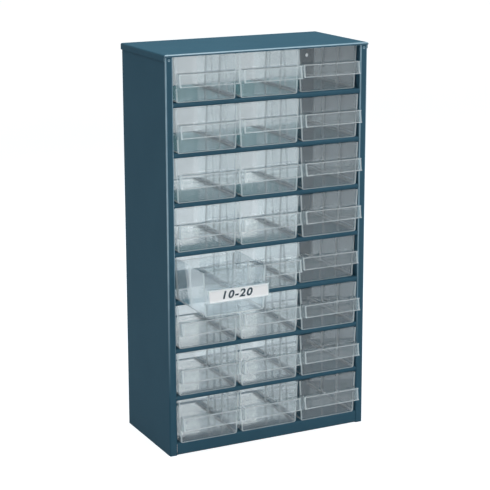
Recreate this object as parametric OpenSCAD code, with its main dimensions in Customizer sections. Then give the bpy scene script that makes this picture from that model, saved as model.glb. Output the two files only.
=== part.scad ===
// Small-parts cabinet: a painted sheet-steel carcass with 24 clear pull-out drawers.
// The origin is the middle of the footprint on the ground. +X is right, +Z is up, the front faces -Y.
// Rows count from the top, columns from the left.

/* [Carcass] */
// Overall width, across the skirt of the lid
cab_w = 306; // [296:1:330]
// Overall depth, across the lid
cab_d = 150; // [140:1:180]
// Overall height
cab_h = 552; // [536:1:600]
// Thickness of the steel sheet
sheet = 1; // [0.8:0.1:1.2]
// Outside radius of the bends in the side panels and the lid
bend_r = 2; // [1.6:0.1:2.6]
// Width of the front flange of each side panel
flange_w = 11; // [9:0.5:14]
// Depth of the lip that is turned in behind each front flange
flange_return = 12; // [8:0.5:16]
// Width of the rear flange of each side panel
rear_flange_w = 28; // [20:1:34]
// Height of the fascia below the lowest drawers
fascia_h = 17.5; // [12:0.5:24]
// Height of the skirt of the lid at the sides and the back
skirt_h = 9; // [6:0.5:14]
// Height of the lip of the lid at the front
lip_h = 3.5; // [3:0.1:5]
// Gap left between the upper ends of the side panels and the underside of the lid
lid_seat_gap = 1; // [0.8:0.1:1.5]

/* [Wall fixing] */
// Diameter of the fixing holes in the rear flanges
wall_hole_d = 5; // [4:0.5:6]
// Height of the lower pair of holes
wall_hole_low = 50; // [40:1:60]
// Distance from the top of the cabinet down to the upper pair of holes
wall_hole_drop = 34; // [26:1:44]

/* [Pressed marks] */
// Diameter of the sphere that presses the round marks
mark_ball_d = 8; // [6:0.5:10]
// Depth of the round marks
mark_depth = 0.4; // [0.2:0.1:0.5]
// Distance of the marks on the lid from its front and side edges
mark_inset = 8; // [6:0.5:12]
// Distance of the marks on the front flanges below the lid
mark_drop = 4; // [3.5:0.5:8]

/* [Shelves] */
// Height of the bar along the front of each shelf
bar_h = 6.5; // [5:0.5:9]
// Depth of that bar, front to back
bar_d = 8; // [6:0.5:10]
// Radius of the round nose of the bar
bar_r = 2.5; // [1.6:0.1:2.5]
// How far the bars sit behind the front flanges
bar_set_back = 0.4; // [0.2:0.1:1]
// Height of the guide rails
rail_h = 4; // [3:0.5:5]
// How much narrower each side of a guide rail is at its top
rail_slope = 1.5; // [0.5:0.1:2]
// Sideways clearance between a guide rail and the foot of a drawer
rail_clear = 0.75; // [0.4:0.05:1.2]
// Distance from the rear ends of the guide rails to the back of the shelf
rail_back = 24; // [16:1:32]
// Depth of the flanges that fix a shelf to the side panels
side_drop = 8; // [5:0.5:12]
// Depth of the flange along the back of a shelf, and of the strip under the lid, that stop the drawers
back_drop = 12; // [9:0.5:14]
// Gap between the back of a shelf and the rear flanges, and beside the strip under the lid
shelf_gap = 0.5; // [0.3:0.1:1.5]

/* [Drawers] */
// Gap between neighbouring drawers at their rims
side_gap = 2.4; // [1.6:0.1:4]
// Gap between the rim of a drawer and the bar above it
rim_gap = 0.8; // [0.5:0.1:1.6]
// Gap under a drawer, above its shelf
glide_gap = 0.3; // [0.3:0.1:0.6]
// Gap between a drawer that is fully home and the flange that stops it
stop_gap = 0.5; // [0.3:0.1:1.5]
// How far the front wall sits behind the flanges when a drawer is fully home
home_recess = 9; // [4:0.5:12]
// How much narrower each side of a drawer is at its foot
taper = 3; // [2:0.1:4]
// Thickness of the walls
wall = 1.6; // [1.2:0.1:2]
// Thickness of the floor
floor_t = 1.6; // [1.2:0.1:2]
// Outside radius along the two lower edges
foot_r = 3; // [2.4:0.1:4]
// Width of one rib of a divider slot
rib_w = 1.2; // [0.8:0.1:2]
// How far the ribs stand out from the side walls
rib_out = 1.4; // [1:0.1:2]
// Distance from the rim down to the upper ends of the ribs
rib_drop = 4; // [2:0.5:8]
// Height of the two lugs that keep a drawer from falling out
lug_h = 2.5; // [2:0.1:3]
// Length of a lug, front to back
lug_l = 3; // [2:0.5:5]
// Width of a lug
lug_w = 4; // [3:0.5:6]
// Distance from the front of a lug to the back of the drawer
lug_back = 22; // [12:1:40]

/* [Handles and labels] */
// Height of the top of the handle above the underside of the drawer
handle_top = 39; // [34:0.5:46]
// Height of the label face of the handle
face_h = 17.5; // [14:0.5:19]
// How far the top of the label face stands out from the front wall
face_out_top = 11.5; // [9:0.5:14]
// How much further out the lower edge of the label face stands
face_lean = 2.5; // [1:0.1:4]
// Thickness of the handle
handle_t = 1.4; // [1:0.1:1.8]
// How far the end webs of the handle run down below the label face
web_drop = 3; // [1:0.5:6]
// Thickness of the lips that hold the label
lip_t = 0.6; // [0.5:0.1:0.8]
// How far those lips stand out from the label face
lip_out = 1.2; // [1:0.1:1.6]
// How far the lips reach over the edge of the label
lip_hook = 0.8; // [0.5:0.1:1.2]
// Thickness of the label card
card_t = 0.3; // [0.2:0.05:0.4]
// Clearance around the label card
card_gap = 0.05; // [0.05:0.05:0.15]

/* [Dividers] */
// Thickness of a divider
divider_t = 1.2; // [1:0.1:1.8]
// Clearance of a divider in its slot, on each side
divider_clear = 0.2; // [0.1:0.05:0.4]
// Distance from the rim down to the top of a divider
divider_drop = 5; // [3:0.5:10]
// Radius of the lower corners of a divider
divider_r = 2; // [1.6:0.1:3]

/* [Hidden] */
ROWS = 8;
COLS = 3;
$fn = 48;
// Facets along the round foot of a drawer
FOOT_STEPS = 4;
// Overlap that keeps joined shapes and cuts from ending on one face
BITE = 0.5;
// Divider slots along a drawer
SLOTS = 2;

STEEL = "#2b4a5c";
CLEAR = "#b9c4cc";
PAPER = "#f4f4f2";

// How far each drawer stands out from its fully home place, row by row
STAND_OUT = [
    [9, 8, 0.5],
    [11, 8, 6],
    [9, 9, 8],
    [8, 8, 9],
    [92, 9, 2],
    [9, 8, 8.5],
    [8, 9, 9],
    [11, 9, 9]
];
// The drawer that holds the label card and the dividers
USED_ROW = 5;
USED_COL = 1;

// Carcass planes
body_x = cab_w / 2 - sheet;
front_y = -cab_d / 2 + sheet;
rear_y = cab_d / 2 - sheet;
inner_x = body_x - sheet;
open_x = body_x - flange_w;
return_y = front_y + flange_return;
panel_h = cab_h - sheet - lid_seat_gap;

// Shelf planes
bar_front = front_y + bar_set_back;
shelf_back = rear_y - sheet - shelf_gap;
shelf_side_front = return_y + shelf_gap;
col_pitch = 2 * open_x / COLS;
row_pitch = (cab_h - fascia_h - lip_h + bar_h) / ROWS;

// Drawer sizes
drawer_w = col_pitch - side_gap;
foot_w = drawer_w - 2 * taper;
drawer_h = row_pitch - bar_h - rim_gap - glide_gap;
home_front = front_y + home_recess;
home_back = shelf_back - sheet - stop_gap;
drawer_d = home_back - home_front;
side_lean = atan(taper / drawer_h);
slot_w = divider_t + 2 * divider_clear;
rail_w = col_pitch - foot_w - 2 * rail_clear;

// Handle sizes
face_tilt = atan(face_lean / face_h);
face_len = face_h / cos(face_tilt);
handle_foot = handle_top - face_h;
handle_w = 2 * side_at(handle_foot);
card_w = handle_w - 2 * handle_t - 2 * card_gap;
card_h = face_len - 2 * lip_t - 2 * card_gap;

// Half the outside width of a drawer at height z above its underside
function side_at(z) = foot_w / 2 + taper * z / drawer_h;
// Height of the upper face of the shelf under a row
function shelf_z(row) = fascia_h + (ROWS - row) * row_pitch;
// Middle of a column
function col_x(col) = -open_x + (col - 0.5) * col_pitch;
// Points of the right half of a drawer's section, set in by inset, from low to high
function half_section(inset, low, high, r) = concat(
    [for (i = [0:FOOT_STEPS])
        let (a = -90 + (90 - side_lean) * i / FOOT_STEPS)
        [side_at(low + r) - inset - r / cos(side_lean) + r * cos(a), low + r + r * sin(a)]],
    [[side_at(high) - inset, high]]
);
// Closed outline of a drawer's section
function section(inset, low, high, r) = let (h = half_section(inset, low, high, r))
    concat(h, [for (i = [len(h) - 1:-1:0]) [-h[i][0], h[i][1]]]);

// Draws an outline in X and Z and runs it along Y from y0 to y1
module along_y(y0, y1) {
    translate([0, y1, 0]) rotate([90, 0, 0]) linear_extrude(y1 - y0) children();
}

// Draws an outline in Y and Z and runs it along X over width w, centred
module along_x(w) {
    translate([-w / 2, 0, 0]) rotate([90, 0, 90]) linear_extrude(w) children();
}

// Quarter of a bent sheet, its centre at the origin, in the quadrant -X -Y
module bend_2d(r) {
    intersection() {
        difference() {
            circle(r);
            circle(r - sheet);
        }
        translate([-r, -r]) square(r);
    }
}

// Plan of the left side panel: rear flange, wall, front flange and the lip turned in behind it
module side_plan() {
    left = -body_x;
    fold = left + flange_w;
    translate([left, front_y + bend_r]) square([sheet, rear_y - front_y - 2 * bend_r]);
    translate([left + bend_r, front_y + bend_r]) bend_2d(bend_r);
    translate([left + bend_r, front_y]) square([flange_w - 2 * bend_r, sheet]);
    translate([fold - bend_r, front_y + bend_r]) mirror([1, 0]) bend_2d(bend_r);
    translate([fold - sheet, front_y + bend_r]) square([sheet, flange_return - bend_r]);
    translate([left + bend_r, rear_y - bend_r]) mirror([0, 1]) bend_2d(bend_r);
    translate([left + bend_r, rear_y - sheet]) square([rear_flange_w - bend_r, sheet]);
}

module side_panel() {
    hole_x = -body_x + rear_flange_w / 2;
    mark_x = -body_x + flange_w / 2;
    mark_z = cab_h - lip_h - mark_drop;
    difference() {
        linear_extrude(panel_h) side_plan();
        for (z = [wall_hole_low, cab_h - wall_hole_drop])
            translate([hole_x, rear_y + BITE, z])
                rotate([90, 0, 0]) cylinder(d = wall_hole_d, h = sheet + 2 * BITE);
        translate([mark_x, front_y + mark_depth - mark_ball_d / 2, mark_z]) sphere(d = mark_ball_d);
    }
}

module side_left() {
    color(STEEL) side_panel();
}

module side_right() {
    color(STEEL) mirror([1, 0, 0]) side_panel();
}

// Section of the lid across one direction: a slab of half width hw with round upper edges
module lid_section(hw, top, low, r) {
    translate([-hw, low]) square([2 * hw, top - r - low]);
    translate([-hw + r, top - r]) square([2 * hw - 2 * r, r]);
    for (x = [-hw + r, hw - r]) translate([x, top - r]) circle(r);
}

// Solid outer or inner form of the lid, set in by inset
module lid_form(inset, low) {
    r = bend_r - inset;
    intersection() {
        along_y(-cab_d, cab_d) lid_section(cab_w / 2 - inset, cab_h - inset, low, r);
        along_x(2 * cab_w) lid_section(cab_d / 2 - inset, cab_h - inset, low, r);
    }
}

module lid() {
    skirt_z = cab_h - skirt_h;
    lip_z = cab_h - lip_h;
    mark_x = cab_w / 2 - mark_inset;
    mark_y = -cab_d / 2 + mark_inset;
    strip_x = inner_x - shelf_gap;
    color(STEEL) {
        difference() {
            lid_form(0, skirt_z);
            lid_form(sheet, skirt_z - BITE);
            // the front lip is shorter than the skirt
            translate([-cab_w / 2 - BITE, -cab_d / 2 - BITE, skirt_z - BITE])
                cube([cab_w + 2 * BITE, bend_r + BITE, skirt_h - lip_h + BITE]);
            for (x = [-mark_x, mark_x])
                translate([x, mark_y, cab_h - mark_depth + mark_ball_d / 2]) sphere(d = mark_ball_d);
        }
        // hem turned back under the front lip, between the side flanges
        translate([-open_x, -cab_d / 2 + sheet / 2, lip_z])
            cube([2 * open_x, bar_d + sheet / 2, sheet]);
        // strip that stops the top drawers, as the rear flange of a shelf stops those below it
        translate([-strip_x, shelf_back - sheet, cab_h - back_drop])
            cube([2 * strip_x, sheet, back_drop - sheet / 2]);
    }
}

// Section of a front bar of height h, its upper front corner at the origin
module bar_section(h) {
    difference() {
        union() {
            translate([bar_r, -h]) square([bar_d - bar_r, h]);
            translate([0, bar_r - h]) square([bar_r + BITE, h - 2 * bar_r]);
            translate([bar_r, -bar_r]) circle(bar_r);
            translate([bar_r, bar_r - h]) circle(bar_r);
        }
        translate([bar_r, sheet - h]) square([bar_d, h - 2 * sheet]);
        translate([sheet, bar_r - h]) square([bar_r, h - 2 * bar_r]);
        translate([bar_r, -bar_r]) circle(bar_r - sheet);
        translate([bar_r, bar_r - h]) circle(bar_r - sheet);
    }
}

// Plan of a shelf behind its front bar, notched for the front flanges
module shelf_plan() {
    translate([-open_x, bar_front + bar_r]) square([2 * open_x, shelf_back - bar_front - bar_r]);
    translate([-inner_x, shelf_side_front]) square([2 * inner_x, shelf_back - shelf_side_front]);
}

// Section of a guide rail, set in by inset and reaching down to low
module rail_section(inset, low) {
    hw = rail_w / 2 - inset;
    polygon([[-hw, low], [hw, low], [hw, 0], [hw - rail_slope, rail_h - inset],
             [rail_slope - hw, rail_h - inset], [-hw, 0]]);
}

// Front end of the guide rail at column edge i: the outer ones start behind the flange lips
function rail_front(i) = i == 0 || i == COLS ? shelf_side_front : bar_front + bar_d;

// One shelf with its upper face at z = 0, a front bar of height h and a rear flange of depth drop
module shelf_body(h, drop) {
    difference() {
        union() {
            translate([0, 0, -sheet]) linear_extrude(sheet) shelf_plan();
            translate([0, bar_front, 0]) along_x(2 * open_x) bar_section(h);
            for (i = [0:COLS])
                translate([-open_x + i * col_pitch, 0, 0])
                    along_y(rail_front(i), shelf_back - rail_back) rail_section(0, -sheet / 2);
            translate([-inner_x, shelf_back - sheet, -drop]) cube([2 * inner_x, sheet, drop]);
            for (x = [-inner_x, inner_x - sheet])
                translate([x, shelf_side_front, -side_drop])
                    cube([sheet, shelf_back - shelf_side_front, side_drop]);
        }
        // the rails are pressed up from the sheet, so they are hollow underneath
        for (i = [0:COLS])
            translate([-open_x + i * col_pitch, 0, 0])
                along_y(rail_front(i) + sheet, shelf_back - rail_back - sheet)
                    rail_section(sheet, -2 * sheet);
    }
}

module shelf(row) {
    color(STEEL) translate([0, 0, shelf_z(row)]) shelf_body(bar_h, back_drop);
}

// The bottom shelf has a fascia down to the ground in front and a wall down to it at the back
module base() {
    color(STEEL) translate([0, 0, shelf_z(ROWS)]) shelf_body(fascia_h, fascia_h);
}

// Ribs on both side walls, one on each side of a divider slot centred at y
module slot_ribs(y) {
    low = floor_t / 2;
    high = drawer_h - rib_drop;
    root = wall * 3 / 4;
    tip = wall + rib_out;
    for (side = [-1, 1], y0 = [y - slot_w / 2 - rib_w, y + slot_w / 2])
        along_y(y0, y0 + rib_w)
            polygon([[side * (side_at(low) - root), low], [side * (side_at(high) - root), high],
                     [side * (side_at(high) - tip), high], [side * (side_at(low) - tip), low]]);
}

// Middle of divider slot i, counted from the front
function slot_y(i) = wall + i * (drawer_d - 2 * wall) / (SLOTS + 1);

// Places an outline on the leaning label face: its upper edge at the origin, -X out, -Y down
module on_face() {
    translate([-face_out_top, handle_top]) rotate(-face_tilt) children();
}

module handle_section() {
    // top plate
    translate([-face_out_top, handle_top - handle_t]) square([face_out_top + wall / 2, handle_t]);
    on_face() {
        // label face, and a lip along its upper and its lower edge
        translate([0, -face_len]) square([handle_t, face_len]);
        for (y = [-lip_t, -face_len]) translate([-lip_out, y]) square([lip_out + handle_t / 2, lip_t]);
        translate([-lip_out, -lip_t - lip_hook]) square([lip_t, lip_hook + lip_t / 2]);
        translate([-lip_out, lip_t / 2 - face_len]) square([lip_t, lip_hook + lip_t / 2]);
    }
}

module handle() {
    along_x(handle_w) handle_section();
    for (x = [-1, 1] * (handle_w - handle_t) / 2)
        translate([x, 0, 0]) along_x(handle_t)
            polygon([[wall / 2, handle_top], [-face_out_top, handle_top],
                     [-face_out_top - face_lean, handle_foot], [wall / 2, handle_foot - web_drop]]);
}

// One drawer, its front wall at y = 0 and its underside at z = 0
module drawer_body() {
    lug_x = drawer_w / 2 - lug_w / 2 - wall / 4;
    difference() {
        along_y(0, drawer_d) polygon(section(0, 0, drawer_h, foot_r));
        along_y(wall, drawer_d - wall)
            polygon(section(wall, floor_t, drawer_h + BITE, foot_r - wall));
    }
    for (i = [1:SLOTS]) slot_ribs(slot_y(i));
    handle();
    for (side = [-1, 1])
        translate([side * lug_x - lug_w / 2, drawer_d - lug_back, drawer_h - wall])
            cube([lug_w, lug_l, lug_h + wall]);
}

// Moves its children from a drawer's own frame to its place in the cabinet
module in_bay(row, col) {
    translate([col_x(col), home_front - STAND_OUT[row - 1][col - 1], shelf_z(row) + glide_gap]) children();
}

module drawer(row, col) {
    color(CLEAR) in_bay(row, col) drawer_body();
}

module divider(i) {
    color(CLEAR) in_bay(USED_ROW, USED_COL)
        along_y(slot_y(i) - divider_t / 2, slot_y(i) + divider_t / 2)
            polygon(section(wall + divider_clear, floor_t, drawer_h - divider_drop, divider_r));
}

module label_card() {
    color(PAPER) in_bay(USED_ROW, USED_COL)
        along_x(card_w) on_face()
            translate([-card_gap - card_t, lip_t + card_gap - face_len]) square([card_t, card_h]);
}

side_left();
side_right();
lid();
base();
shelf(1);  // shelf_1
shelf(2);  // shelf_2
shelf(3);  // shelf_3
shelf(4);  // shelf_4
shelf(5);  // shelf_5
shelf(6);  // shelf_6
shelf(7);  // shelf_7
drawer(1, 1);  // drawer_r1c1
drawer(1, 2);  // drawer_r1c2
drawer(1, 3);  // drawer_r1c3
drawer(2, 1);  // drawer_r2c1
drawer(2, 2);  // drawer_r2c2
drawer(2, 3);  // drawer_r2c3
drawer(3, 1);  // drawer_r3c1
drawer(3, 2);  // drawer_r3c2
drawer(3, 3);  // drawer_r3c3
drawer(4, 1);  // drawer_r4c1
drawer(4, 2);  // drawer_r4c2
drawer(4, 3);  // drawer_r4c3
drawer(5, 1);  // drawer_r5c1
drawer(5, 2);  // drawer_r5c2
drawer(5, 3);  // drawer_r5c3
drawer(6, 1);  // drawer_r6c1
drawer(6, 2);  // drawer_r6c2
drawer(6, 3);  // drawer_r6c3
drawer(7, 1);  // drawer_r7c1
drawer(7, 2);  // drawer_r7c2
drawer(7, 3);  // drawer_r7c3
drawer(8, 1);  // drawer_r8c1
drawer(8, 2);  // drawer_r8c2
drawer(8, 3);  // drawer_r8c3
divider(1);  // divider_front
divider(2);  // divider_rear
label_card();
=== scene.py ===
"""Looks of a small-parts cabinet: enamelled sheet steel with clear moulded polystyrene drawers."""

import logging
import math
from collections.abc import Callable, Iterable
from dataclasses import dataclass, field
from enum import Enum
from functools import cached_property

import bmesh
import bpy
from mathutils import Matrix, Vector


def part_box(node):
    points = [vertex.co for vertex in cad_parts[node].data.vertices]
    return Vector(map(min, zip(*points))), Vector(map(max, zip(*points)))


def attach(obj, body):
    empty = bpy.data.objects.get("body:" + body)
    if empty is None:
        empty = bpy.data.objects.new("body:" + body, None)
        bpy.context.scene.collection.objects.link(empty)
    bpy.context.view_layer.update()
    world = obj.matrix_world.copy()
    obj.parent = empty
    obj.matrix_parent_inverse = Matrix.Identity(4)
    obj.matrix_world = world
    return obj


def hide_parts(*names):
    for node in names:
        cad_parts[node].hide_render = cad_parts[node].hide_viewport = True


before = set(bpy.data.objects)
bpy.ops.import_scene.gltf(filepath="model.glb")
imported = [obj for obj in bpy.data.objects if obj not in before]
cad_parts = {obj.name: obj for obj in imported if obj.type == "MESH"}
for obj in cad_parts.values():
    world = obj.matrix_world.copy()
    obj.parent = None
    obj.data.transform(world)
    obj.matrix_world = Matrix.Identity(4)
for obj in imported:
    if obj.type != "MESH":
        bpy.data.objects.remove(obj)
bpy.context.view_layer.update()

MM = 0.001
MERGE_DISTANCE = 1e-6
SAME_PLANE = 10 * MERGE_DISTANCE
FLAT_ANGLE = math.radians(0.3)
# how strongly a large face keeps its own normal at the round edges beside it, out of 100
LARGE_FACE_WEIGHT = 80

ROWS = 8
COLUMNS = 3
OPEN_DRAWER = "drawer_r5c1"

PETROL_BLUE = "#395b6c"
# nearly all the values of a noise texture lie between these two
NOISE_SPAN = (0.3, 0.7)
# at this blend a face's turn is 1 - cos(angle), of which Schlick's rule takes the fifth power
FACING_BLEND = 0.5
SCHLICK_POWER = 5.0
# a ray that has passed no clear wall has a transparent depth below this
NO_CLEAR_WALL = 0.5
# a Mix node's sockets for colours and for plain values
COLOUR_A, COLOUR_B, COLOUR_RESULT = 6, 7, 2
VALUE_A, VALUE_B, VALUE_RESULT = 2, 3, 0

log = logging.getLogger("cabinet")


class Slot(str, Enum):
    """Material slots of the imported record."""

    STEEL = "painted_steel"
    CLEAR = "clear_polystyrene"
    CARD = "card"


class Face(int, Enum):
    """Kinds of face, each with its own finish, in the order of a piece's materials."""

    WALL = 0  # the broad faces
    # edges of a moulding are hazier and whiter, a painted glow; bends of a sheet get a painted highlight
    EDGE = 1  # rims and ribs of a moulding, bends of a sheet
    LIT = 2  # where a wall's thickness shows from in front and glows
    # a hazier, whiter finish that paints in the glow of light carried through the wall's thickness
    GRIP = 3  # the handle's thin broad faces
    WEB = 4  # the handle's two ends


# ---------------------------------------------------------------- nodes and colours


def srgb(code: str) -> tuple[float, float, float, float]:
    """Turns an sRGB hex colour into Blender's linear colour.

    Args:
        code: Six hex digits with a leading hash.

    Returns:
        Linear red, green, blue and an alpha of 1.
    """
    channels = [int(code[i : i + 2], 16) / 255 for i in (1, 3, 5)]
    linear = [c / 12.92 if c <= 0.04045 else ((c + 0.055) / 1.055) ** 2.4 for c in channels]
    return (*linear, 1.0)


WHITE = srgb("#ffffff")


def add_node(tree: bpy.types.NodeTree, kind: str, links: dict | None = None, **settings) -> bpy.types.Node:
    """Adds one node with its settings and its inputs.

    Args:
        tree: The node tree that gets the node.
        kind: Blender's name for the node type.
        links: Input name or number to a socket, which is linked, or to a plain value.
        **settings: Attributes of the node itself.

    Returns:
        The new node.
    """
    made = tree.nodes.new(kind)
    for name, value in settings.items():
        setattr(made, name, value)
    for name, value in (links or {}).items():
        if isinstance(value, bpy.types.NodeSocket):
            tree.links.new(value, made.inputs[name])
        else:
            made.inputs[name].default_value = value
    return made


def new_tree(name: str) -> tuple[bpy.types.Material, bpy.types.NodeTree]:
    """Makes an empty node material.

    Args:
        name: The material's name.

    Returns:
        The material and its cleared node tree.
    """
    material = bpy.data.materials.new(name)
    material.use_nodes = True
    material.node_tree.nodes.clear()
    return material, material.node_tree


def per_mm(size: float) -> float:
    """Returns the texture scale whose pattern repeats about every size millimetres."""
    return 1 / (size * MM)


# ---------------------------------------------------------------- finishes


@dataclass(frozen=True)
class StovedEnamel:
    """Stoved enamel on sheet steel: an even, dense colour with a satin shine and a faint orange peel."""

    name: str = "stoved_enamel_petrol_blue"
    colour: str = PETROL_BLUE
    thin: str = "#416475"
    drift_mm: float = 70.0
    drift_detail: float = 3.0
    drift_share: float = 0.35
    # real grit is far finer, and this is as coarse as it needs to show
    grit_mm: float = 0.8
    grit_detail: float = 2.0
    grit_span: tuple[float, float] = (0.35, 0.75)
    grit_share: float = 0.18
    peel_mm: float = 2.2
    peel_detail: float = 1.0
    peel_strength: float = 0.12
    peel_depth: float = 0.05 * MM
    roughness: tuple[float, float] = (0.46, 0.55)
    shine: float = 0.08
    shine_roughness: float = 0.3

    def material(self) -> bpy.types.Material:
        """Builds the enamel.

        Returns:
            The finished material.
        """
        material, tree = new_tree(self.name)
        place = add_node(tree, "ShaderNodeTexCoord").outputs["Object"]
        # broad drift of the colour, where the spray was a little thinner
        drift = add_node(
            tree,
            "ShaderNodeTexNoise",
            {"Vector": place, "Scale": per_mm(self.drift_mm), "Detail": self.drift_detail},
        )
        soft = add_node(
            tree,
            "ShaderNodeMapRange",
            {
                "Value": drift.outputs["Fac"],
                "From Min": NOISE_SPAN[0],
                "From Max": NOISE_SPAN[1],
                "To Max": self.drift_share,
            },
        )
        # fine grit of the pigment
        grit = add_node(
            tree,
            "ShaderNodeTexNoise",
            {"Vector": place, "Scale": per_mm(self.grit_mm), "Detail": self.grit_detail},
        )
        speck = add_node(
            tree,
            "ShaderNodeMapRange",
            {
                "Value": grit.outputs["Fac"],
                "From Min": self.grit_span[0],
                "From Max": self.grit_span[1],
                "To Max": self.grit_share,
            },
        )
        share = add_node(
            tree, "ShaderNodeMath", {0: soft.outputs[0], 1: speck.outputs[0]}, operation="ADD", use_clamp=True
        )
        colour = add_node(
            tree,
            "ShaderNodeMix",
            {0: share.outputs[0], COLOUR_A: srgb(self.colour), COLOUR_B: srgb(self.thin)},
            data_type="RGBA",
        )
        # orange peel, and the roughness that goes with the drift
        peel = add_node(
            tree,
            "ShaderNodeTexNoise",
            {"Vector": place, "Scale": per_mm(self.peel_mm), "Detail": self.peel_detail},
        )
        bump = add_node(
            tree,
            "ShaderNodeBump",
            {"Height": peel.outputs["Fac"], "Strength": self.peel_strength, "Distance": self.peel_depth},
        )
        rough = add_node(
            tree,
            "ShaderNodeMapRange",
            {
                "Value": drift.outputs["Fac"],
                "From Min": NOISE_SPAN[0],
                "From Max": NOISE_SPAN[1],
                "To Min": self.roughness[0],
                "To Max": self.roughness[1],
            },
        )
        shader = add_node(
            tree,
            "ShaderNodeBsdfPrincipled",
            {
                "Base Color": colour.outputs[COLOUR_RESULT],
                "Roughness": rough.outputs[0],
                "Normal": bump.outputs[0],
                "Specular IOR Level": 0.0,
                "Coat Weight": self.shine,
                "Coat Roughness": self.shine_roughness,
            },
        )
        add_node(tree, "ShaderNodeOutputMaterial", {"Surface": shader.outputs[0]})
        return material


@dataclass(frozen=True)
class PaintedBendHighlight:
    """Enamel on the outer bends with a painted highlight: a lighter colour and a stronger coat that grow with
    height.
    """

    name: str = "stoved_enamel_painted_bend_highlight"
    enamel_colour: str = PETROL_BLUE
    # the lighter colour of the painted highlight, which starts at the first height below and is full at the
    # second
    highlight_colour: str = "#7fa3b4"
    highlight_from: float = 80.0 * MM
    highlight_fully: float = 300.0 * MM
    patch_mm: float = 25.0
    patch_detail: float = 3.0
    patch_share: tuple[float, float] = (0.75, 1.0)
    roughness: float = 0.5
    shine: float = 1.0
    shine_roughness: float = 0.2
    # above the 1.5 of enamel, so that the glint on so narrow a bend shows
    shine_index: float = 1.9

    def material(self) -> bpy.types.Material:
        """Builds the finish of the bends.

        Returns:
            The finished material.
        """
        material, tree = new_tree(self.name)
        place = add_node(tree, "ShaderNodeTexCoord").outputs["Object"]
        height = add_node(tree, "ShaderNodeSeparateXYZ", {0: place}).outputs["Z"]
        # the painted highlight grows with height, from none low down to full higher up
        rise = add_node(
            tree,
            "ShaderNodeMapRange",
            {"Value": height, "From Min": self.highlight_from, "From Max": self.highlight_fully},
        )
        # the painted highlight is uneven along the bend
        patch = add_node(
            tree,
            "ShaderNodeTexNoise",
            {"Vector": place, "Scale": per_mm(self.patch_mm), "Detail": self.patch_detail},
        )
        uneven = add_node(
            tree,
            "ShaderNodeMapRange",
            {
                "Value": patch.outputs["Fac"],
                "From Min": NOISE_SPAN[0],
                "From Max": NOISE_SPAN[1],
                "To Min": self.patch_share[0],
                "To Max": self.patch_share[1],
            },
        )
        share = add_node(
            tree, "ShaderNodeMath", {0: rise.outputs[0], 1: uneven.outputs[0]}, operation="MULTIPLY"
        )
        colour = add_node(
            tree,
            "ShaderNodeMix",
            {0: share.outputs[0], COLOUR_A: srgb(self.enamel_colour), COLOUR_B: srgb(self.highlight_colour)},
            data_type="RGBA",
        )
        # the coat's shine grows with the painted highlight
        coat = add_node(tree, "ShaderNodeMath", {0: share.outputs[0], 1: self.shine}, operation="MULTIPLY")
        shader = add_node(
            tree,
            "ShaderNodeBsdfPrincipled",
            {
                "Base Color": colour.outputs[COLOUR_RESULT],
                "Roughness": self.roughness,
                "Specular IOR Level": 0.0,
                "Coat Weight": coat.outputs[0],
                "Coat Roughness": self.shine_roughness,
                "Coat IOR": self.shine_index,
            },
        )
        add_node(tree, "ShaderNodeOutputMaterial", {"Surface": shader.outputs[0]})
        return material


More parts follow.
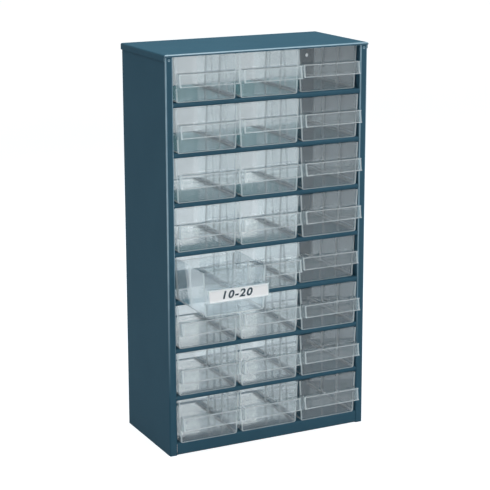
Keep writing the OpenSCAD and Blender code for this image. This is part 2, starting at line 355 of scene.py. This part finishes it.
@dataclass(frozen=True)
class ClearPolystyrene:
    """Crystal polystyrene, injection moulded: glossy, with a slight cold haze, made hazier and whiter at
    edges as a painted glow.
    """

    name: str
    haze: float
    colour: str
    forward: float = 0.6
    tint: str = "#fcfdfd"
    mirror_tint: str = "#f3f8fb"
    gloss: float = 0.03
    face_on: float = 0.05
    low_angle: float = 0.95
    flow_mm: float = 18.0
    flow_detail: float = 2.0
    flow_stretch: tuple[float, float, float] = (1.0, 0.25, 1.0)
    flow_share: float = 0.02
    flow_strength: float = 0.03
    flow_depth: float = 0.1 * MM
    turned: float = 0.0
    # below the 1.59 of polystyrene, so that each of an edge's thin faces turns the view only a little
    index: float = 1.3

    def material(self) -> bpy.types.Material:
        """Builds the plastic: a clear film, a hazy share and a shine that rises at a low angle.

        Returns:
            The finished material.
        """
        material, tree = new_tree(self.name)
        place = add_node(tree, "ShaderNodeTexCoord").outputs["Object"]
        # flow marks: long soft streaks along the drawer from the gate of the mould
        stretch = add_node(tree, "ShaderNodeMapping", {"Vector": place, "Scale": self.flow_stretch})
        flow = add_node(
            tree,
            "ShaderNodeTexNoise",
            {"Vector": stretch.outputs[0], "Scale": per_mm(self.flow_mm), "Detail": self.flow_detail},
        )
        haze = add_node(
            tree,
            "ShaderNodeMapRange",
            {
                "Value": flow.outputs["Fac"],
                "From Min": NOISE_SPAN[0],
                "From Max": NOISE_SPAN[1],
                "To Min": self.haze - self.flow_share / 2,
                "To Max": self.haze + self.flow_share / 2,
            },
        )
        bump = add_node(
            tree,
            "ShaderNodeBump",
            {"Height": flow.outputs["Fac"], "Strength": self.flow_strength, "Distance": self.flow_depth},
        )
        film = add_node(tree, "ShaderNodeBsdfTransparent", {"Color": srgb(self.tint)})
        # thick edges and ribs act as small prisms and turn part of the view aside
        prism = add_node(
            tree,
            "ShaderNodeBsdfRefraction",
            {"Color": srgb(self.tint), "Roughness": self.gloss, "IOR": self.index},
        )
        clear = add_node(
            tree, "ShaderNodeMixShader", {0: self.turned, 1: film.outputs[0], 2: prism.outputs[0]}
        )
        # the haze sends light back and, for the larger part, on to the other side
        back = add_node(tree, "ShaderNodeBsdfDiffuse", {"Color": srgb(self.colour)})
        through = add_node(tree, "ShaderNodeBsdfTranslucent", {"Color": srgb(self.colour)})
        milk = add_node(
            tree, "ShaderNodeMixShader", {0: self.forward, 1: back.outputs[0], 2: through.outputs[0]}
        )
        hazy = add_node(
            tree, "ShaderNodeMixShader", {0: haze.outputs[0], 1: clear.outputs[0], 2: milk.outputs[0]}
        )
        # reflection by angle, after Schlick: little face on, much at a low angle
        facing = add_node(tree, "ShaderNodeLayerWeight", {"Blend": FACING_BLEND, "Normal": bump.outputs[0]})
        power = add_node(
            tree, "ShaderNodeMath", {0: facing.outputs["Facing"], 1: SCHLICK_POWER}, operation="POWER"
        )
        mirror = add_node(
            tree,
            "ShaderNodeMapRange",
            {"Value": power.outputs[0], "To Min": self.face_on, "To Max": self.low_angle},
        )
        shine = add_node(
            tree,
            "ShaderNodeBsdfGlossy",
            {"Color": srgb(self.mirror_tint), "Roughness": self.gloss, "Normal": bump.outputs[0]},
        )
        whole = add_node(
            tree, "ShaderNodeMixShader", {0: mirror.outputs[0], 1: hazy.outputs[0], 2: shine.outputs[0]}
        )
        add_node(tree, "ShaderNodeOutputMaterial", {"Surface": whole.outputs[0]})
        return material


# the same plastic, as each kind of face shows it; the edge and glow finishes are hazier and whiter, a painted
# glow of the light that the walls carry
CLEAR_FINISHES = {
    Face.WALL: ClearPolystyrene("crystal_polystyrene_wall", haze=0.05, colour="#c9e0ec"),
    Face.EDGE: ClearPolystyrene("crystal_polystyrene_edge", haze=0.38, colour="#f0f8fa", turned=0.6),
    Face.LIT: ClearPolystyrene("crystal_polystyrene_painted_glow", haze=0.55, colour="#e8f5f8", forward=0.3),
    Face.GRIP: ClearPolystyrene("crystal_polystyrene_grip", haze=0.02, colour="#d6e2ea", face_on=0.03),
    Face.WEB: ClearPolystyrene("crystal_polystyrene_web", haze=0.14, colour="#eaf6f8"),
}


@dataclass(frozen=True)
class LabelBoard:
    """Uncoated white card, cut to size: bright and matt, with short fibres in its surface."""

    name: str = "uncoated_white_card"
    colour: str = "#fdfdfd"
    fibre_colour: str = "#f3f4f4"
    # real fibres are finer, and these are as coarse as they need to show
    fibre_mm: float = 0.6
    fibre_detail: float = 4.0
    fibre_strength: float = 0.2
    fibre_depth: float = 0.03 * MM
    roughness: float = 0.85

    def material(self) -> bpy.types.Material:
        """Builds the card.

        Returns:
            The finished material.
        """
        material, tree = new_tree(self.name)
        place = add_node(tree, "ShaderNodeTexCoord").outputs["Object"]
        fibre = add_node(
            tree,
            "ShaderNodeTexNoise",
            {"Vector": place, "Scale": per_mm(self.fibre_mm), "Detail": self.fibre_detail},
        )
        colour = add_node(
            tree,
            "ShaderNodeMix",
            {0: fibre.outputs["Fac"], COLOUR_A: srgb(self.colour), COLOUR_B: srgb(self.fibre_colour)},
            data_type="RGBA",
        )
        bump = add_node(
            tree,
            "ShaderNodeBump",
            {"Height": fibre.outputs["Fac"], "Strength": self.fibre_strength, "Distance": self.fibre_depth},
        )
        shader = add_node(
            tree,
            "ShaderNodeBsdfPrincipled",
            {
                "Base Color": colour.outputs[COLOUR_RESULT],
                "Roughness": self.roughness,
                "Normal": bump.outputs[0],
            },
        )
        add_node(tree, "ShaderNodeOutputMaterial", {"Surface": shader.outputs[0]})
        return material


@dataclass(frozen=True)
class PrintingInk:
    """Dark blue printing ink laid on card: nearly matt, a little uneven where the card drinks it."""

    name: str = "dark_blue_ink"
    colour: str = "#14303c"
    worn: str = "#2b4856"
    blot_mm: float = 1.2
    blot_detail: float = 3.0
    blot_span: tuple[float, float] = (0.45, 0.8)
    worn_share: float = 0.6
    roughness: float = 0.6

    def material(self) -> bpy.types.Material:
        """Builds the ink.

        Returns:
            The finished material.
        """
        material, tree = new_tree(self.name)
        place = add_node(tree, "ShaderNodeTexCoord").outputs["Object"]
        blot = add_node(
            tree,
            "ShaderNodeTexNoise",
            {"Vector": place, "Scale": per_mm(self.blot_mm), "Detail": self.blot_detail},
        )
        share = add_node(
            tree,
            "ShaderNodeMapRange",
            {
                "Value": blot.outputs["Fac"],
                "From Min": self.blot_span[0],
                "From Max": self.blot_span[1],
                "To Max": self.worn_share,
            },
        )
        colour = add_node(
            tree,
            "ShaderNodeMix",
            {0: share.outputs[0], COLOUR_A: srgb(self.colour), COLOUR_B: srgb(self.worn)},
            data_type="RGBA",
        )
        shader = add_node(
            tree,
            "ShaderNodeBsdfPrincipled",
            {"Base Color": colour.outputs[COLOUR_RESULT], "Roughness": self.roughness},
        )
        add_node(tree, "ShaderNodeOutputMaterial", {"Surface": shader.outputs[0]})
        return material


@dataclass(frozen=True)
class Backdrop:
    """How bright the surroundings look: white when seen at once or in gloss, toned through clear plastic."""

    plain: float
    toned: float

    def strength(self, tree: bpy.types.NodeTree, other: float = 0.0) -> bpy.types.NodeSocket:
        """Adds the nodes that give the strength of the surroundings' light.

        Args:
            tree: The tree of the paper or of the room.
            other: The strength for the light that falls on the object.

        Returns:
            The socket with the strength.
        """
        path = add_node(tree, "ShaderNodeLightPath")
        direct = add_node(
            tree,
            "ShaderNodeMath",
            {0: path.outputs["Transparent Depth"], 1: NO_CLEAR_WALL},
            operation="LESS_THAN",
        )
        camera = add_node(
            tree,
            "ShaderNodeMapRange",
            {"Value": direct.outputs[0], "To Min": self.toned, "To Max": self.plain},
        )
        mirrored = add_node(
            tree,
            "ShaderNodeMath",
            {0: path.outputs["Is Glossy Ray"], 1: path.outputs["Is Transmission Ray"]},
            operation="MAXIMUM",
        )
        shown = add_node(
            tree, "ShaderNodeMapRange", {"Value": mirrored.outputs[0], "To Min": other, "To Max": self.plain}
        )
        return add_node(
            tree,
            "ShaderNodeMix",
            {0: path.outputs["Is Camera Ray"], VALUE_A: shown.outputs[0], VALUE_B: camera.outputs[0]},
            data_type="FLOAT",
        ).outputs[VALUE_RESULT]


@dataclass(frozen=True)
class StudioPaper:
    """Seamless pale grey background paper: matt, with the object's soft shadow kept on it."""

    name: str = "seamless_paper"
    colour: str = "#a3adb4"
    roughness: float = 0.95
    specular: float = 0.1
    look: Backdrop = Backdrop(plain=0.8, toned=0.3)

    def material(self) -> bpy.types.Material:
        """Builds the paper.

        Returns:
            The finished material.
        """
        material, tree = new_tree(self.name)
        shader = add_node(
            tree,
            "ShaderNodeBsdfPrincipled",
            {
                "Base Color": srgb(self.colour),
                "Roughness": self.roughness,
                "Specular IOR Level": self.specular,
                "Emission Color": WHITE,
                "Emission Strength": self.look.strength(tree),
            },
        )
        add_node(tree, "ShaderNodeOutputMaterial", {"Surface": shader.outputs[0]})
        return material


@dataclass(frozen=True)
class PaintedWall:
    """Matt emulsion on plaster: the dim green-grey wall above the paper, which only the gloss shows."""

    name: str = "matt_wall_paint"
    colour: str = "#7fb0b2"
    shade: str = "#6f9fa2"
    roller_mm: float = 60.0
    roller_detail: float = 2.0
    roughness: float = 0.95
    specular: float = 0.1

    def material(self) -> bpy.types.Material:
        """Builds the paint.

        Returns:
            The finished material.
        """
        material, tree = new_tree(self.name)
        place = add_node(tree, "ShaderNodeTexCoord").outputs["Object"]
        roller = add_node(
            tree,
            "ShaderNodeTexNoise",
            {"Vector": place, "Scale": per_mm(self.roller_mm), "Detail": self.roller_detail},
        )
        colour = add_node(
            tree,
            "ShaderNodeMix",
            {0: roller.outputs["Fac"], COLOUR_A: srgb(self.colour), COLOUR_B: srgb(self.shade)},
            data_type="RGBA",
        )
        shader = add_node(
            tree,
            "ShaderNodeBsdfPrincipled",
            {
                "Base Color": colour.outputs[COLOUR_RESULT],
                "Roughness": self.roughness,
                "Specular IOR Level": self.specular,
            },
        )
        add_node(tree, "ShaderNodeOutputMaterial", {"Surface": shader.outputs[0]})
        return material


# ---------------------------------------------------------------- meshes


@dataclass(frozen=True)
class EdgeBreak:
    """How the sharp edges of a solid are broken."""

    width: float
    segments: int = 2
    least_angle: float = math.radians(35)


def cad_points(node: str) -> list[Vector]:
    """Lists the points of a CAD node's mesh."""
    return [vertex.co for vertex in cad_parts[node].data.vertices]


def merged_copy(node: str) -> bmesh.types.BMesh:
    """Copies a node's mesh, joins its loose triangles and clears the flat ones' inner edges.

    Args:
        node: The CAD node's name.

    Returns:
        A new mesh, closed and with its faces facing out.
    """
    bm = bmesh.new()
    bm.from_mesh(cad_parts[node].data)
    bmesh.ops.remove_doubles(bm, verts=bm.verts, dist=MERGE_DISTANCE)
    bmesh.ops.dissolve_degenerate(bm, edges=bm.edges, dist=MERGE_DISTANCE)
    bmesh.ops.dissolve_limit(bm, angle_limit=FLAT_ANGLE, verts=bm.verts, edges=bm.edges)
    for face in bm.faces:
        face.material_index = Face.WALL.value
    return bm


def is_narrow(face: bmesh.types.BMFace, width: float) -> bool:
    """Says whether a face is a strip, less than some width across."""
    return face.calc_area() / max(edge.calc_length() for edge in face.edges) < width


def cut_along(
    bm: bmesh.types.BMesh, faces: Iterable[bmesh.types.BMFace], start: Vector, across: Vector
) -> None:
    """Cuts some faces along a plane.

    Args:
        bm: The mesh to change.
        faces: The faces to cut.
        start: A point of the plane.
        across: The plane's normal, of any length.
    """
    parts = {*faces, *(e for f in faces for e in f.edges), *(v for f in faces for v in f.verts)}
    bmesh.ops.bisect_plane(
        bm, geom=list(parts), dist=MERGE_DISTANCE, plane_co=start, plane_no=across.normalized()
    )


def break_edges(bm: bmesh.types.BMesh, edge_break: EdgeBreak) -> list[bmesh.types.BMFace]:
    """Rounds every edge that is sharper than the break's least angle.

    Args:
        bm: The mesh to change.
        edge_break: Width, segments and least angle.

    Returns:
        The faces of the rounded edges.
    """
    sharp = [e for e in bm.edges if e.is_manifold and e.calc_face_angle(0.0) > edge_break.least_angle]
    made = bmesh.ops.bevel(
        bm,
        geom=sharp,
        offset=edge_break.width,
        offset_type="OFFSET",
        affect="EDGES",
        segments=edge_break.segments,
        profile=0.5,
        material=-1,
        clamp_overlap=True,
    )
    return made["faces"]


def mark(
    bm: bmesh.types.BMesh, faces: Iterable[bmesh.types.BMFace], kind: Callable[[bmesh.types.BMFace], Face]
) -> None:
    """Gives faces the finish of their kind.

    Args:
        bm: The mesh to change.
        faces: The faces to mark.
        kind: Says which kind a face is.
    """
    bm.normal_update()
    for face in faces:
        face.material_index = kind(face).value


def put_in_scene(name: str, data: bpy.types.ID) -> bpy.types.Object:
    """Puts a new object into the scene.

    Args:
        name: The object's name.
        data: Its mesh, text, lamp or camera.

    Returns:
        The new object, at the origin.
    """
    made = bpy.data.objects.new(name, data)
    bpy.context.scene.collection.objects.link(made)
    return made


def mesh_piece(bm: bmesh.types.BMesh, name: str, materials: list[bpy.types.Material]) -> bpy.types.Object:
    """Turns a mesh under work into an object of the scene.

    Args:
        bm: The mesh, which is freed.
        name: The object's name.
        materials: Its materials in the order of their indices.

    Returns:
        The new object.
    """
    mesh = bpy.data.meshes.new(name)
    bm.to_mesh(mesh)
    bm.free()
    for material in materials:
        mesh.materials.append(material)
    return put_in_scene(name, mesh)


def finished(
    bm: bmesh.types.BMesh, name: str, body: str, materials: list[bpy.types.Material]
) -> bpy.types.Object:
    """Turns a mesh into a shaded piece that rides on its body.

    Args:
        bm: The mesh, which is freed.
        name: The piece's name.
        body: The CAD body that it moves with.
        materials: The piece's materials in the order of their indices.

    Returns:
        The new object.
    """
    piece = mesh_piece(bm, name, materials)
    piece.data.shade_smooth()
    # large faces stay flat to the eye, and only the broken edges between them are shaded round
    normals = piece.modifiers.new("even_normals", "WEIGHTED_NORMAL")
    normals.mode = "FACE_AREA"
    normals.weight = LARGE_FACE_WEIGHT
    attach(piece, body)
    return piece


def moulding(
    bm: bmesh.types.BMesh,
    node: str,
    body: str,
    finishes: list[bpy.types.Material],
    edge_break: EdgeBreak,
    kind: Callable[[bmesh.types.BMFace], Face],
) -> bpy.types.Object:
    """Makes a clear moulding in place of a CAD node, with bright edges and ribs.

    Args:
        bm: The moulding's mesh, which is freed.
        node: The CAD node that it stands for.
        body: The body that it moves with.
        finishes: Materials in the order of Face.
        edge_break: How its edges are rounded.
        kind: Says which kind a flat or rounded face is.

    Returns:
        The finished piece.
    """
    mark(bm, bm.faces, kind)
    mark(bm, break_edges(bm, edge_break), kind)
    piece = finished(bm, f"{node}_moulding", body, finishes)
    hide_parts(node)
    log.info("moulding %s: %d faces", piece.name, len(piece.data.polygons))
    return piece


# ---------------------------------------------------------------- sub-assemblies


@dataclass
class Carcass:
    """The welded steel carcass: two side panels, the lid, the base and a shelf between every two rows."""

    enamel: bpy.types.Material
    bend: bpy.types.Material
    shelves: int = ROWS - 1
    edge_break: EdgeBreak = field(default_factory=lambda: EdgeBreak(width=0.25 * MM))
    # how far a bend's normal turns to the front, between edge on and face on; in this range a face gets the
    # painted highlight
    bend_range: tuple[float, float] = (0.2, 0.98)
    bent_nodes: tuple[str, ...] = ("side_left", "side_right", "lid")
    body: str = "carcass"

    def nodes(self) -> list[str]:
        """Lists the carcass's sheet-metal nodes, from the outside in."""
        return ["side_left", "side_right", "lid", "base", *(f"shelf_{i + 1}" for i in range(self.shelves))]

    def kind(self, face: bmesh.types.BMFace) -> Face:
        """Says whether a face is part of a bend or a broken edge at the front, which gets the painted
        highlight, or a broad face.
        """
        return Face.EDGE if self.bend_range[0] < -face.normal.y < self.bend_range[1] else Face.WALL

    def build(self) -> list[bpy.types.Object]:
        """Builds each sheet with its cut edges broken and enamelled, and the front bends of the sides and the
        lid with the painted highlight.

        Returns:
            One piece a node.
        """
        made = []
        for node in self.nodes():
            bm = merged_copy(node)
            break_edges(bm, self.edge_break)
            if node in self.bent_nodes:
                mark(bm, bm.faces, self.kind)
            piece = finished(bm, f"{node}_sheet", self.body, [self.enamel, self.bend])
            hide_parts(node)
            log.info("sheet %s: %d faces", piece.name, len(piece.data.polygons))
            made.append(piece)
        return made


@dataclass
class Drawer:
    """One moulded drawer, with its handle, divider slots and stop lugs."""

    row: int
    column: int
    finishes: list[bpy.types.Material]
    edge_break: EdgeBreak = field(default_factory=lambda: EdgeBreak(width=0.3 * MM))
    depth: float = 136.0 * MM
    taper: float = 3.0 * MM
    wall_width: float = 1.6 * MM
    rib_width: float = 2.0 * MM
    handle_gap: float = 2.0 * MM
    # the widths of the painted glow strips along the sides and the foot of the front wall
    glow_side: float = 2.3 * MM
    glow_foot: float = 1.2 * MM
    # the least that a face's normal turns to the front, or a web's to the side
    wall_facing: float = 0.99
    label_facing: float = 0.8
    edge_facing: float = 0.3
    web_facing: float = 0.7

    @property
    def node(self) -> str:
        """Name of the drawer's CAD node, and of its body."""
        return f"drawer_r{self.row}c{self.column}"

    @cached_property
    def corners(self) -> tuple[Vector, Vector]:
        """The low and the high corner of the drawer's box."""
        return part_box(self.node)

    @cached_property
    def middle_x(self) -> float:
        """The X of the drawer's middle."""
        return (self.corners[0].x + self.corners[1].x) / 2

    @cached_property
    def front_y(self) -> float:
        """The Y of the front wall, behind which the lugs and ribs lie."""
        return self.corners[1].y - self.depth

    @cached_property
    def rim_z(self) -> float:
        """The height of the front wall's rim."""
        return max(p.z for p in cad_points(self.node) if abs(p.y - self.front_y) < SAME_PLANE)

    @cached_property
    def grip_reach(self) -> float:
        """The distance from the drawer's middle to the end of the handle."""
        return max(abs(p.x - self.middle_x) for p in cad_points(self.node) if self.in_handle(p))

    def side_at(self, height: float) -> float:
        """Returns the distance from the drawer's middle to the side of its front wall at a height."""
        low, high = self.corners
        return (high.x - low.x) / 2 - self.taper * (self.rim_z - height) / (self.rim_z - low.z)

    def in_handle(self, point: Vector) -> bool:
        """Says whether a point is part of the handle, clear of the front wall."""
        return point.y < self.front_y - self.handle_gap

    def in_front_wall(self, point: Vector) -> bool:
        """Says whether a point lies on the outside of the front wall."""
        return abs(point.y - self.front_y) < self.wall_width / 4

    def is_painted_glow(self, face: bmesh.types.BMFace) -> bool:
        """Says whether a face gets the painted glow: whether a side wall, the floor or a web stands end on
        behind it.

        Args:
            face: A face of the drawer.

        Returns:
            True in a strip along the sides and the foot of the front wall, and at the handle's ends.
        """
        centre = face.calc_center_median()
        off_middle = abs(centre.x - self.middle_x)
        if self.in_handle(centre):
            return -face.normal.y > self.label_facing and off_middle > self.grip_reach - self.glow_side
        if not self.in_front_wall(centre) or -face.normal.y <= self.edge_facing:
            return False
        low_down = centre.z < self.corners[0].z + self.glow_foot
        return low_down or off_middle > self.side_at(centre.z) - self.glow_side

    def kind(self, face: bmesh.types.BMFace) -> Face:
        """Says how a face of the moulding looks.

        Args:
            face: A flat or rounded face of the drawer.

        Returns:
            The glow finish, a painted glow, where a wall's thickness shows from in front, EDGE on a rim, a
            rib or another narrow face,
            WEB and GRIP on the handle's ends and broad faces, and WALL elsewhere.
        """
        if self.is_painted_glow(face):
            return Face.LIT
        if is_narrow(face, self.rib_width):
            return Face.EDGE
        if self.in_handle(face.calc_center_median()):
            return Face.WEB if abs(face.normal.x) > self.web_facing else Face.GRIP
        return Face.WALL

    def front_faces(self, bm: bmesh.types.BMesh) -> list[bmesh.types.BMFace]:
        """Lists the flat outer faces of the front wall."""
        facing = (f for f in bm.faces if -f.normal.y > self.wall_facing)
        return [f for f in facing if self.in_front_wall(f.verts[0].co)]

    def label_faces(self, bm: bmesh.types.BMesh) -> list[bmesh.types.BMFace]:
        """Lists the handle's faces that look to the front."""
        facing = (f for f in bm.faces if -f.normal.y > self.label_facing)
        return [f for f in facing if self.in_handle(f.verts[0].co)]

    def score_front(self, bm: bmesh.types.BMesh) -> None:
        """Cuts the front along the lines behind which the side walls, the floor and the webs stand; the
        strips these cuts leave get the painted glow.

        Args:
            bm: The drawer's mesh.
        """
        foot = self.corners[0].z
        rise = self.rim_z - foot
        inner = self.side_at(foot) - self.glow_side
        for side in (-1, 1):
            start = Vector((self.middle_x + side * inner, self.front_y, foot))
            cut_along(bm, self.front_faces(bm), start, Vector((side * rise, 0, -self.taper)))
        start = Vector((self.middle_x, self.front_y, foot + self.glow_foot))
        cut_along(bm, self.front_faces(bm), start, Vector((0, 0, 1)))
        for side in (-1, 1):
            start = Vector((self.middle_x + side * (self.grip_reach - self.glow_side), self.front_y, foot))
            cut_along(bm, self.label_faces(bm), start, Vector((1, 0, 0)))

    def build(self) -> bpy.types.Object:
        """Builds the moulding and marks its edges.

        Returns:
            The finished drawer.
        """
        bm = merged_copy(self.node)
        self.score_front(bm)
        return moulding(bm, self.node, self.node, self.finishes, self.edge_break, self.kind)


@dataclass
class Dividers:
    """The two loose plates that part the open drawer."""

    wall: bpy.types.Material
    edge: bpy.types.Material
    body: str = OPEN_DRAWER
    nodes: tuple[str, ...] = ("divider_front", "divider_rear")
    edge_break: EdgeBreak = field(default_factory=lambda: EdgeBreak(width=0.3 * MM))
    rib_width: float = 2.0 * MM

    def kind(self, face: bmesh.types.BMFace) -> Face:
        """Says whether a face is one of the plate's edges or a broad face."""
        return Face.EDGE if is_narrow(face, self.rib_width) else Face.WALL

    def build(self) -> list[bpy.types.Object]:
        """Builds both plates.

        Returns:
            The two pieces.
        """
        finishes = [self.wall, self.edge]
        return [
            moulding(merged_copy(node), node, self.body, finishes, self.edge_break, self.kind)
            for node in self.nodes
        ]


@dataclass
class BinLabel:
    """The card in the open drawer's handle, with a plain bin number."""

    card: bpy.types.Material
    ink: bpy.types.Material
    text: str = "10-20"
    height: float = 9.5 * MM
    # the height of a figure as a share of the font's size
    figure_share: float = 0.7
    slant: float = 0.28
    boldness: float = 0.42 * MM
    thickness: float = 0.04 * MM
    lift: float = 0.02 * MM
    spacing: float = 1.2
    stretch: float = 1.2
    left_share: float = 0.19
    corner_reach: float = 0.1 * MM
    node: str = "label_card"
    body: str = OPEN_DRAWER

    def face_frame(self) -> Matrix:
        """Finds the front of the card.

        Returns:
            A matrix whose origin is the middle of the card's front, with X to the right, Y up it and Z out.
        """
        low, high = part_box(self.node)
        points = cad_points(self.node)
        foot = min((p for p in points if p.z < low.z + self.corner_reach), key=lambda p: p.y)
        head = min((p for p in points if p.z > high.z - self.corner_reach), key=lambda p: p.y)
        right = Vector((1, 0, 0))
        up = Vector((0, head.y - foot.y, head.z - foot.z)).normalized()
        middle = Vector(((low.x + high.x) / 2, (head.y + foot.y) / 2, (head.z + foot.z) / 2))
        basis = Matrix((right, up, right.cross(up))).transposed().to_4x4()
        return Matrix.Translation(middle) @ basis

    def number_mesh(self) -> bpy.types.Mesh:
        """Sets the number in type.

        Returns:
            The figures as a mesh, flat on XY and starting at the origin.
        """
        curve = bpy.data.curves.new("bin_number", "FONT")
        curve.body = self.text
        curve.size = self.height / self.figure_share
        curve.shear = self.slant
        curve.offset = self.boldness
        curve.extrude = self.thickness
        curve.space_character = self.spacing
        curve.align_y = "CENTER"
        words = put_in_scene("bin_number_text", curve)
        bpy.context.view_layer.update()
        mesh = bpy.data.meshes.new_from_object(words)
        bpy.data.objects.remove(words)
        mesh.materials.clear()
        mesh.materials.append(self.ink)
        return mesh

    def build(self) -> bpy.types.Object:
        """Dresses the card and prints the number on it.

        Returns:
            The printed number.
        """
        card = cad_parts[self.node]
        card.data.materials.clear()
        card.data.materials.append(self.card)
        low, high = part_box(self.node)
        shift = Vector((-(high.x - low.x) * (0.5 - self.left_share), 0, self.thickness + self.lift))
        widen = Matrix.Diagonal((self.stretch, 1, 1, 1))
        mesh = self.number_mesh()
        mesh.transform(self.face_frame() @ Matrix.Translation(shift) @ widen)
        number = put_in_scene("bin_number", mesh)
        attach(number, self.body)
        log.info("label with number: %d faces", len(mesh.polygons))
        return number


# ---------------------------------------------------------------- studio


@dataclass(frozen=True)
class Lamp:
    """A soft rectangular lamp, aimed at a point."""

    name: str
    place: tuple[float, float, float]
    aim: tuple[float, float, float]
    size: tuple[float, float]
    watts: float

    def build(self) -> bpy.types.Object:
        """Hangs the lamp.

        Returns:
            The lamp's object.
        """
        data = bpy.data.lights.new(self.name, "AREA")
        data.shape = "RECTANGLE"
        data.size, data.size_y = self.size
        data.energy = self.watts
        lamp = put_in_scene(self.name, data)
        lamp.location = self.place
        lamp.rotation_euler = (Vector(self.place) - Vector(self.aim)).to_track_quat("Z", "Y").to_euler()
        lamp.visible_camera = False
        return lamp


@dataclass
class Studio:
    """Floor, wall, lamps, even room light and the camera."""

    paper: bpy.types.Material
    wall_paint: bpy.types.Material
    floor_size: float = 60.0
    floor_squares: int = 4
    # from its foot upwards the wall is what the decks of the upper rows mirror
    wall_size: tuple[float, float] = (3.0, 0.8)
    wall_squares: tuple[int, int] = (4, 2)
    wall_foot: tuple[float, float, float] = (0.6, 1.357, 0.6775)
    room_light: float = 0.5
    sky: Backdrop = Backdrop(plain=1.0, toned=0.47)
    camera_place: tuple[float, float, float] = (-0.9643, -1.9257, 0.8125)
    heading: float = math.radians(26.6)
    tilt: float = math.radians(13.014)
    roll: float = math.radians(-0.114)
    frame_px: float = 490.0
    focal_px: float = 1570.5
    axis_px: float = 210.7
    sensor: float = 36.0
    # the most clear faces that a line of sight passes, through all the drawers of a column
    clear_faces: int = 48
    lamps: tuple[Lamp, ...] = (
        Lamp("overhead", (-0.1, -0.3, 2.6), (0, 0, 0.4), (2.4, 1.8), 38.0),
        Lamp("back_strip", (0.5, 1.38, 0.5725), (0.5, 0, 0.5725), (2.2, 0.165), 1.32),
        Lamp("back_strip_high", (0.5, 1.38, 0.6725), (0.5, 0, 0.6725), (2.2, 0.035), 0.15),
        Lamp("front_right", (0.9, -2.6, 1.7), (0, 0, 0.3), (1.6, 1.6), 20.0),
    )

    def build_floor(self) -> bpy.types.Object:
        """Lays the floor.

        Returns:
            The floor.
        """
        bm = bmesh.new()
        squares = self.floor_squares
        bmesh.ops.create_grid(bm, x_segments=squares, y_segments=squares, size=self.floor_size / 2)
        floor = mesh_piece(bm, "studio_floor", [self.paper])
        return floor

    def build_wall(self) -> bpy.types.Object:
        """Stands up the strip of wall that the gloss of the upper decks shows above the paper.

        Returns:
            The wall, left out of direct view.
        """
        width, height = self.wall_size
        across, up = self.wall_squares
        bm = bmesh.new()
        bmesh.ops.create_grid(bm, x_segments=across, y_segments=up, size=0.5)
        upright = Matrix.Rotation(math.radians(90), 4, "X")
        spread = Matrix.Diagonal((width, 1, height, 1))
        middle = Vector(self.wall_foot) + Vector((0, 0, height / 2))
        bmesh.ops.transform(bm, matrix=Matrix.Translation(middle) @ spread @ upright, verts=bm.verts)
        wall = mesh_piece(bm, "studio_wall", [self.wall_paint])
        wall.visible_camera = False
        return wall

    def build_room(self) -> None:
        """Sets the even light of the room, which looks white to the camera and in gloss."""
        world = bpy.data.worlds.new("studio_room")
        bpy.context.scene.world = world
        world.use_nodes = True
        tree = world.node_tree
        tree.nodes.clear()
        strength = self.sky.strength(tree, self.room_light)
        light = add_node(tree, "ShaderNodeBackground", {"Color": WHITE, "Strength": strength})
        add_node(tree, "ShaderNodeOutputWorld", {"Surface": light.outputs[0]})

    def build_camera(self) -> bpy.types.Object:
        """Sets up the camera.

        Returns:
            The scene's camera.
        """
        ahead = math.cos(self.tilt)
        forward = Vector(
            (math.sin(self.heading) * ahead, math.cos(self.heading) * ahead, -math.sin(self.tilt))
        )
        level = Vector((math.cos(self.heading), -math.sin(self.heading), 0))
        upright = level.cross(forward)
        right = level * math.cos(self.roll) + upright * math.sin(self.roll)
        up = upright * math.cos(self.roll) - level * math.sin(self.roll)
        data = bpy.data.cameras.new("studio_camera")
        data.sensor_width = self.sensor
        data.lens = self.focal_px / self.frame_px * self.sensor
        data.shift_y = (self.axis_px - self.frame_px / 2) / self.frame_px
        camera = put_in_scene("studio_camera", data)
        basis = Matrix((right, up, -forward)).transposed().to_4x4()
        camera.matrix_world = Matrix.Translation(Vector(self.camera_place)) @ basis
        bpy.context.scene.camera = camera
        return camera

    def build(self) -> None:
        """Sets the whole studio."""
        self.build_floor()
        self.build_wall()
        self.build_room()
        for lamp in self.lamps:
            lamp.build()
        self.build_camera()
        scene = bpy.context.scene
        scene.view_settings.view_transform = "Standard"
        scene.cycles.transparent_max_bounces = self.clear_faces
        log.info("studio: %d lamps", len(self.lamps))


# ---------------------------------------------------------------- the whole cabinet


def main() -> None:
    """Builds the studio and the cabinet, piece by piece."""
    logging.basicConfig(level=logging.INFO, format="%(name)s: %(message)s")
    Studio(paper=StudioPaper().material(), wall_paint=PaintedWall().material()).build()
    Carcass(enamel=StovedEnamel().material(), bend=PaintedBendHighlight().material()).build()
    finishes = [CLEAR_FINISHES[kind].material() for kind in Face]
    for row in range(1, ROWS + 1):
        for column in range(1, COLUMNS + 1):
            Drawer(row=row, column=column, finishes=finishes).build()
    Dividers(wall=finishes[Face.WALL], edge=finishes[Face.EDGE]).build()
    BinLabel(card=LabelBoard().material(), ink=PrintingInk().material()).build()


if __name__ == "__main__":
    main()
